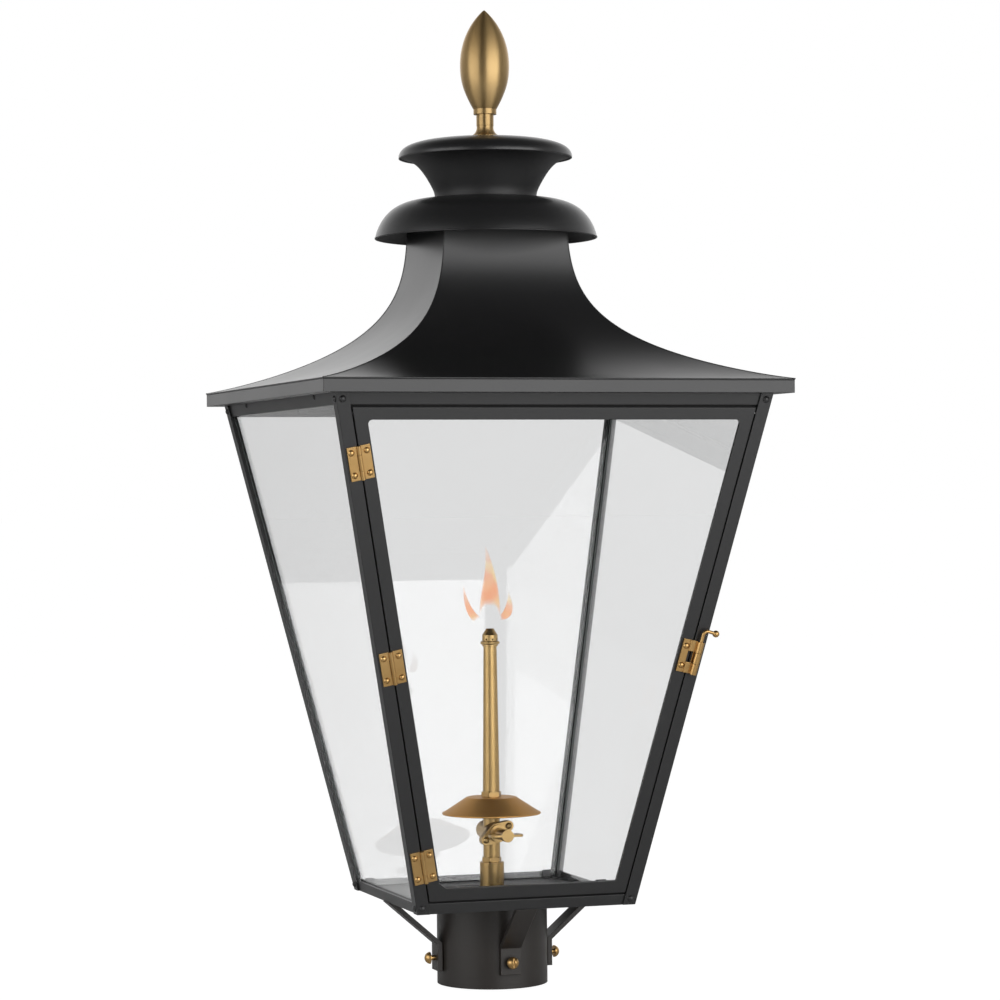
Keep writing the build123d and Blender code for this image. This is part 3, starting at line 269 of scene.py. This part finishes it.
coat, coat_in, coat_out = make_group(
    "powder_coat",
    (("Peel scale", 900.0), ("Cloud scale", 14.0), ("Speck scale", 2600.0),
     ("Gloss", 0.36), ("Spread", 0.08)),
    ("Roughness", "Height", "Dust", "Edge"))
coat_place = coat.nodes.new("ShaderNodeTexCoord").outputs["Object"]
peel = noise(coat, coat_place, coat_in.outputs["Peel scale"], 1.0)
cloud = noise(coat, coat_place, coat_in.outputs["Cloud scale"], 4.0)
speck = noise(coat, coat_place, coat_in.outputs["Speck scale"], 0.0)
dust = math_node(coat, "MULTIPLY", math_node(coat, "GREATER_THAN", speck, dusty_above), cloud)
cloudy = math_node(coat, "MULTIPLY", math_node(coat, "SUBTRACT", cloud, 0.5), coat_in.outputs["Spread"])
link(coat, math_node(coat, "ADD", coat_in.outputs["Gloss"], cloudy), coat_out.inputs["Roughness"])
link(coat, peel, coat_out.inputs["Height"])
link(coat, dust, coat_out.inputs["Dust"])
# the Edge output masks the edges that get the painted highlight
link(coat, edge_mask(coat, highlight_edge_radius), coat_out.inputs["Edge"])


def rounded_bump(tree, shader, height, strength, depth, rounding):
    """Feed a shader's normal: edges rounded to a radius, then a height of a depth over them."""
    soft = tree.nodes.new("ShaderNodeBevel")
    soft.samples = 6
    soft.inputs["Radius"].default_value = rounding
    bump = add_node(tree, "ShaderNodeBump", Strength=strength, Distance=depth)
    link(tree, height, bump.inputs["Height"])
    link(tree, soft.outputs["Normal"], bump.inputs["Normal"])
    link(tree, bump.outputs["Normal"], shader.inputs["Normal"])


def black_paint(name, colour, dust_and_highlight_colour, gloss, peel_depth=0.000008, rounding=0.0008):
    """Satin paint over steel, its sharp edges rounded by the thickness of the coat and made paler by a
    painted highlight.
    """
    material, tree, shader = new_material(name)
    effect = tree.nodes.new("ShaderNodeGroup")
    effect.node_tree = coat
    effect.inputs["Gloss"].default_value = gloss
    # the paler colour is a painted highlight where the edge mask rises, and real dust where the dust mask
    # does
    pale = math_node(tree, "ADD", math_node(tree, "MULTIPLY", effect.outputs["Edge"], edge_highlight_gain),
                     math_node(tree, "MULTIPLY", effect.outputs["Dust"], dust_cover))
    pale.node.use_clamp = True
    link(tree, mix_colours(tree, pale, (*colour, 1.0), (*dust_and_highlight_colour, 1.0)), shader.inputs["Base Color"])
    link(tree, effect.outputs["Roughness"], shader.inputs["Roughness"])
    rounded_bump(tree, shader, effect.outputs["Height"], peel_strength, peel_depth, rounding)
    return material


def finish(material, *names):
    """Give CAD nodes a material."""
    for name in names:
        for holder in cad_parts[name].material_slots:
            holder.material = material


sides = ("front", "right", "back", "left")
corners = ("front_left", "front_right", "back_right", "back_left")
frame_paint = black_paint("frame_paint", (0.015, 0.015, 0.0155), (0.05, 0.05, 0.05), 0.35)
finish(frame_paint, "bottom_frame", "top_frame", "frame_rivets", "seat_strips", "glass_clips",
       "door_frame", "door_glass_clips", "eave_band", "vent_bridge",
       *("corner_post_" + corner for corner in corners))
floor_plate_paint = black_paint("floor_plate_paint", (0.045, 0.045, 0.046), (0.09, 0.09, 0.09), 0.5)
finish(floor_plate_paint, "base_plate")
stop_paint = black_paint("stop_paint", (0.003, 0.003, 0.003), (0.004, 0.004, 0.004), 0.8)
finish(stop_paint, "door_stops")
roof_paint = black_paint("roof_paint", (0.011, 0.011, 0.0115), (0.04, 0.04, 0.04), 0.33)
finish(roof_paint, "vent_hood", "vent_cap", *("roof_panel_" + side for side in sides))
# the neck's darker colour is painted shade, for where it stands under the cap
neck_shaded_paint = black_paint("neck_shaded_paint", (0.008, 0.008, 0.0085), (0.03, 0.03, 0.03), 0.52)
finish(neck_shaded_paint, "vent_neck")
fitter_paint = black_paint("fitter_paint", (0.016, 0.0125, 0.010), (0.05, 0.04, 0.03), 0.42)
finish(fitter_paint, "post_fitter", "fitter_brackets")

# -------------------------------------------------------------------------------------- glass
# Clear float glass panes, cut from sheet with their edges left green and matt, each clipped
# into its side of the frame; the door's pane is tinted a little darker.

edge_green = (0.16, 0.175, 0.168, 1.0)
glass_shadow = (0.93, 0.94, 0.94, 1.0)
face_turned = 0.5


def pane_glass(name, tint, across, mirror):
    """Glass whose faces look along one level axis, matt on its cut edges, which look elsewhere."""
    material, tree, shader = new_material(name)
    shader.inputs["Roughness"].default_value = 0.0
    shader.inputs["IOR"].default_value = 1.5
    shader.inputs["Specular Tint"].default_value = (mirror, mirror, mirror, 1.0)
    shader.inputs["Transmission Weight"].default_value = 1.0
    shader.inputs["Base Color"].default_value = (*tint, 1.0)
    facing = tree.nodes.new("ShaderNodeSeparateXYZ")
    link(tree, tree.nodes.new("ShaderNodeTexCoord").outputs["Normal"], facing.inputs["Vector"])
    cut = math_node(tree, "LESS_THAN", math_node(tree, "ABSOLUTE", facing.outputs[across]), face_turned)
    clear = add_node(tree, "ShaderNodeBsdfTransparent", Color=glass_shadow)
    rays = tree.nodes.new("ShaderNodeLightPath")
    through = mix_shaders(tree, rays.outputs["Is Shadow Ray"], shader.outputs["BSDF"], clear.outputs["BSDF"])
    matt = add_node(tree, "ShaderNodeBsdfDiffuse", Color=edge_green)
    edged = mix_shaders(tree, cut, through, matt.outputs["BSDF"])
    link(tree, edged, tree.nodes["Material Output"].inputs["Surface"])
    return material


finish(pane_glass("door_pane", (0.835, 0.837, 0.838), "Y", 0.1), "door_glass")
finish(pane_glass("back_pane", (0.915, 0.917, 0.918), "Y", 0.85), "glass_back")
finish(pane_glass("side_panes", (0.915, 0.917, 0.918), "X", 1.0), "glass_right", "glass_left")

# -------------------------------------------------------------------------------------- brass
# Turned and cut brass left bare: fine tool lines round each piece, brown patches where it has
# aged, bright on the edges where it is handled. The hidden tie rod, its nuts and its spacers
# are of zinc-plated steel.

handled_edge = 0.0005
quarter_turn = 0.25
line_strength = 0.3

age, age_in, age_out = make_group(
    "aged_brass",
    (("Line scale", 900.0), ("Patch scale", 25.0), ("Gloss", 0.26), ("Spread", 0.08)),
    ("Roughness", "Height", "Tarnish", "Edge"))
age_place = age.nodes.new("ShaderNodeTexCoord").outputs["Object"]
stretch = age.nodes.new("ShaderNodeMapping")
stretch.inputs["Scale"].default_value = (0.006, 0.006, 1.0)
link(age, age_place, stretch.inputs["Vector"])
lines = noise(age, stretch.outputs["Vector"], age_in.outputs["Line scale"], 3.0)
patches = noise(age, age_place, age_in.outputs["Patch scale"], 5.0)
uneven = math_node(age, "MULTIPLY", math_node(age, "SUBTRACT", patches, 0.5), age_in.outputs["Spread"])
link(age, math_node(age, "ADD", age_in.outputs["Gloss"], uneven), age_out.inputs["Roughness"])
link(age, lines, age_out.inputs["Height"])
link(age, patches, age_out.inputs["Tarnish"])
link(age, edge_mask(age, handled_edge), age_out.inputs["Edge"])


def brass(name, bright, aged, gloss, line_depth=0.00001, rounding=0.0003, brushed=0.0):
    """Bare brass between a bright and an aged colour, brushed round its upright axis."""
    material, tree, shader = new_material(name)
    shader.inputs["Metallic"].default_value = 1.0
    shader.inputs["Anisotropic"].default_value = brushed
    shader.inputs["Anisotropic Rotation"].default_value = quarter_turn
    effect = tree.nodes.new("ShaderNodeGroup")
    effect.node_tree = age
    effect.inputs["Gloss"].default_value = gloss
    patchy = ramp_node(tree, effect.outputs["Tarnish"], ((0.3, bright), (0.7, aged)))
    colour = mix_colours(tree, effect.outputs["Edge"], patchy, (*bright, 1.0))
    link(tree, colour, shader.inputs["Base Color"])
    link(tree, effect.outputs["Roughness"], shader.inputs["Roughness"])
    rounded_bump(tree, shader, effect.outputs["Height"], line_strength, line_depth, rounding)
    return material


finial_brass = brass("finial_brass", (0.475, 0.33, 0.155), (0.425, 0.28, 0.12), 0.42, brushed=0.75)
finish(finial_brass, "finial_foot", "finial_bud")
hardware_brass = brass("hardware_brass", (0.58, 0.37, 0.15), (0.42, 0.25, 0.09), 0.34)
finish(hardware_brass, "hinge_frame_leaves", "hinge_door_leaves", "hinge_pins", "hinge_frame_rivets",
       "door_rivets", "latch_plate", "latch_keeper", "latch_pin",
       *("clamp_screw_" + side for side in sides))
fine_line = 0.000003
burner_brass = brass("burner_brass", (0.40, 0.275, 0.118), (0.34, 0.22, 0.088), 0.30, fine_line)
finish(burner_brass, "valve_body", "valve_flange", "valve_key", "burner_nut", "burner_tube", "burner_tip",
       "pipe_nut", "pipe_coupling", "inlet_nipple", "floor_lock_nut", "valve_screws")
shield_brass = brass("shield_brass", (0.60, 0.33, 0.10), (0.52, 0.275, 0.078), 0.46, fine_line)
finish(shield_brass, "heat_shield")
plated = brass("zinc_plate", (0.55, 0.55, 0.53), (0.42, 0.42, 0.41), 0.3)
finish(plated, "tie_rod", "tie_rod_nuts", "hood_spacer", "cap_spacer")

# -------------------------------------------------------------------------------- rolled rims
# The rims of the spun hood and of the heat shield are rolled over into a fine bead, so that
# the thin sheet has no raw edge.

MM = 0.001


def surface(name, points, material, ring=True, thickness=None):
    """Closed mesh object of a grid of points: rows u, columns v, joined round in v.

    Face (i, j) joins points (i, j), (i + 1, j), (i + 1, j + 1) and (i, j + 1). The rows join in a
    ring, or else the first and the last row close on their middle points, where thickness is 0.
    """
    if not ring:
        middles = points.mean(axis=1, keepdims=True).repeat(points.shape[1], axis=1)
        points = np.concatenate((middles[:1], points, middles[-1:]))
    rows, columns = points.shape[:2]
    index = np.arange(rows * columns).reshape(rows, columns)
    index = np.vstack((index, index[:1])) if ring else index
    index = np.hstack((index, index[:, :1]))
    quads = np.stack((index[:-1, :-1], index[1:, :-1], index[1:, 1:], index[:-1, 1:]), axis=-1)
    mesh = bpy.data.meshes.new(name)
    mesh.from_pydata(points.reshape(-1, 3).tolist(), [], quads.reshape(-1, 4).tolist())
    if thickness is not None:
        layer = mesh.attributes.new("thick", "FLOAT", "POINT")
        layer.data.foreach_set("value", np.pad(thickness, ((1, 1), (0, 0))).astype(np.float32).ravel())
    shell = bmesh.new()
    shell.from_mesh(mesh)
    bmesh.ops.remove_doubles(shell, verts=shell.verts, dist=1e-7)
    bmesh.ops.recalc_face_normals(shell, faces=shell.faces)
    shell.to_mesh(mesh)
    shell.free()
    mesh.shade_smooth()
    mesh.materials.append(material)
    piece = bpy.data.objects.new(name, mesh)
    scene.collection.objects.link(piece)
    return piece


def bead(name, radius, height, thickness, material):
    """Round bead about the axis: ((R + t cos v) cos u, (R + t cos v) sin u, z + t sin v)."""
    u = np.linspace(0.0, 2.0 * np.pi, 160, endpoint=False)[:, None]
    v = np.linspace(0.0, 2.0 * np.pi, 12, endpoint=False)[None, :]
    out = radius + thickness * np.cos(v)
    points = np.stack((out * np.cos(u), out * np.sin(u), height + thickness * np.sin(v) + 0.0 * u), axis=-1)
    return surface(name, points, material)


rim_bead = 0.7 * MM
rim_inset = 0.6 * rim_bead
rim_lift = 0.5 * rim_bead
for rim_name, dome, rim_paint, rim_slot in (
        ("hood_rim", "vent_hood", roof_paint, "frame_black"),
        ("shield_rim", "heat_shield", shield_brass, "burner_brass")):
    low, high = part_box(dome)
    rim = bead(rim_name, high.x - rim_inset, low.z + rim_lift, rim_bead, rim_paint)
    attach(rim, "frame")

# --------------------------------------------------------------------------------- hip seams
# The four roof sheets are mitred and brazed together on the hips; the seam is dressed down
# to a fine raised line under the paint.

roof_low, roof_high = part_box("roof_panel_front")
band_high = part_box("eave_band")[1]
roof_sheet = 1.2 * MM
roof_edge = -roof_low.y
roof_edge_z = band_high.z + roof_sheet
roof_collar = 47.9 * MM
roof_curve_rise = 175.9 * MM
roof_curve_out, roof_curve_up = 1.138, 5.0
seam_radius = 0.35 * MM
seam_top_z = roof_high.z - 1.0 * MM
seam_crowding = 1.6


def hip_seam(name, hand_x, hand_y):
    """Bead along a hip: half(z) = edge - (edge - collar)(1 - (1 - (z - z0) / rise)^5)^(1 / 1.138)."""
    z = roof_edge_z + (seam_top_z - roof_edge_z) * np.linspace(0.0, 1.0, 60) ** seam_crowding
    out = (1.0 - (1.0 - (z - roof_edge_z) / roof_curve_rise) ** roof_curve_up) ** (1.0 / roof_curve_out)
    half = roof_edge - out * (roof_edge - roof_collar)
    path = np.stack((hand_x * half, hand_y * half, z), axis=-1)
    along = np.gradient(path, axis=0)
    along /= np.linalg.norm(along, axis=1, keepdims=True)
    aside = np.array((-hand_y, hand_x, 0.0)) / math.sqrt(2.0)
    lift = np.cross(along, aside)
    v = np.linspace(0.0, 2.0 * np.pi, 10, endpoint=False)
    points = (path[:, None, :] + seam_radius * (np.cos(v)[None, :, None] * aside
              + np.sin(v)[None, :, None] * lift[:, None, :]))
    return surface(name, points, roof_paint, ring=False)


for corner, hand_x, hand_y in (
        ("front_left", -1, -1), ("front_right", 1, -1), ("back_right", 1, 1), ("back_left", -1, 1)):
    seam = hip_seam("hip_seam_" + corner, hand_x, hand_y)
    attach(seam, "frame")

# -------------------------------------------------------------------------------------- flame
# A small fan of gas flame over the burner tip: a tall middle tongue and a curl on each side,
# flat and nearly clear, streaked with yellow, peach and orange. It is light, so no CAD piece
# stands for it.

flame_colour, tree, shader = new_material("flame")
shader.inputs["Base Color"].default_value = (0.0, 0.0, 0.0, 1.0)
shader.inputs["Specular IOR Level"].default_value = 0.0
shader.inputs["Roughness"].default_value = 1.0
thick = tree.nodes.new("ShaderNodeAttribute")
thick.attribute_name = "thick"
flame_place = tree.nodes.new("ShaderNodeTexCoord").outputs["Object"]
flicker_scale = 90.0
flicker = noise(tree, flame_place, flicker_scale, 1.0)
hot = math_node(tree, "MULTIPLY", thick.outputs["Fac"], math_node(tree, "ADD", flicker, 0.5))
glow = ramp_node(tree, flicker, (
    (0.36, (1.0, 0.66, 0.22)), (0.5, (1.0, 0.47, 0.24)), (0.72, (1.0, 0.40, 0.19))))
link(tree, glow, shader.inputs["Emission Color"])
shader.inputs["Emission Strength"].default_value = 1.05
veil = ramp_node(tree, hot, ((0.0, 0.0), (0.35, 0.30), (1.0, 0.62)))
link(tree, veil, shader.inputs["Alpha"])

tongues = (
    # the left and the right edge from foot to tip, in millimetres: heights above the nose and
    # offsets aside of the four points of a Bezier line; then the clear arch's height at the foot
    ("middle", ((8.0, -7.6), (30.0, -8.4), (38.0, -1.2), (64.5, -3.4)),
     ((8.0, 8.4), (32.0, 7.4), (45.0, 5.0), (64.5, -3.4)), 17.5),
    ("left", ((5.1, -12.0), (11.0, -19.0), (22.0, -20.4), (33.9, -20.0)),
     ((8.9, -7.1), (13.0, -13.6), (23.0, -17.4), (33.9, -20.0)), 0.0),
    ("right", ((10.5, 8.0), (12.0, 10.5), (20.0, 14.0), (28.8, 14.2)),
     ((6.4, 8.0), (6.5, 18.0), (15.0, 20.4), (28.8, 14.2)), 0.0),
)
arch_half = 7.6
arch_drop = 9.0
arch_blur = 6.0
tongue_depth = 0.4
edge_fade = 0.8
foot_fade = 6.0
tip_fade = 1.6
flame_aside = np.array(level_right)
flame_deep = np.array((forward.x, forward.y, 0.0))
nose_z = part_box("burner_tip")[1].z


def tongue(name, left, right, arch):
    """Lens-shaped tongue between two cubic Bezier edges l(t) and r(t), 0 at its foot to 1 at its tip.

    p(t, a) = (l + r) / 2 + cos a (r - l) / 2 + 0.4 sin a |r - l| / 2 deep. It thins out towards
    its edges, and to nothing at its foot, its tip and under the arch z = top - drop (x / half)^4.
    """
    t = np.linspace(0.0, 1.0, 60)[:, None]
    a = np.linspace(0.0, 2.0 * np.pi, 40, endpoint=False)[None, :]
    weights = np.stack(((1 - t) ** 3, 3 * t * (1 - t) ** 2, 3 * t ** 2 * (1 - t), t ** 3), axis=-1)[:, 0]
    left_edge, right_edge = weights @ np.array(left), weights @ np.array(right)
    middle, half = (left_edge + right_edge) / 2, (right_edge - left_edge) / 2
    rise = middle[:, :1] + np.cos(a) * half[:, :1]
    aside = middle[:, 1:] + np.cos(a) * half[:, 1:]
    deep = tongue_depth * np.linalg.norm(half, axis=1)[:, None] * np.sin(a)
    points = (aside[..., None] * flame_aside + deep[..., None] * flame_deep) * MM
    points[..., 2] += nose_z + rise * MM
    fade = 1 - edge_fade * np.cos(a) ** 6
    fade = fade * np.minimum(1.0, foot_fade * t) * np.minimum(1.0, tip_fade * (1 - t))
    arch_line = arch - arch_drop * (aside / arch_half) ** 4
    fade = fade * np.clip((rise - arch_line) / arch_blur, 0.0, 1.0) if arch else fade
    return surface("flame_" + name, points, flame_colour, ring=False, thickness=fade)


for tongue_name, left_line, right_line, arch in tongues:
    lick_piece = tongue(tongue_name, left_line, right_line, arch)
    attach(lick_piece, "frame")
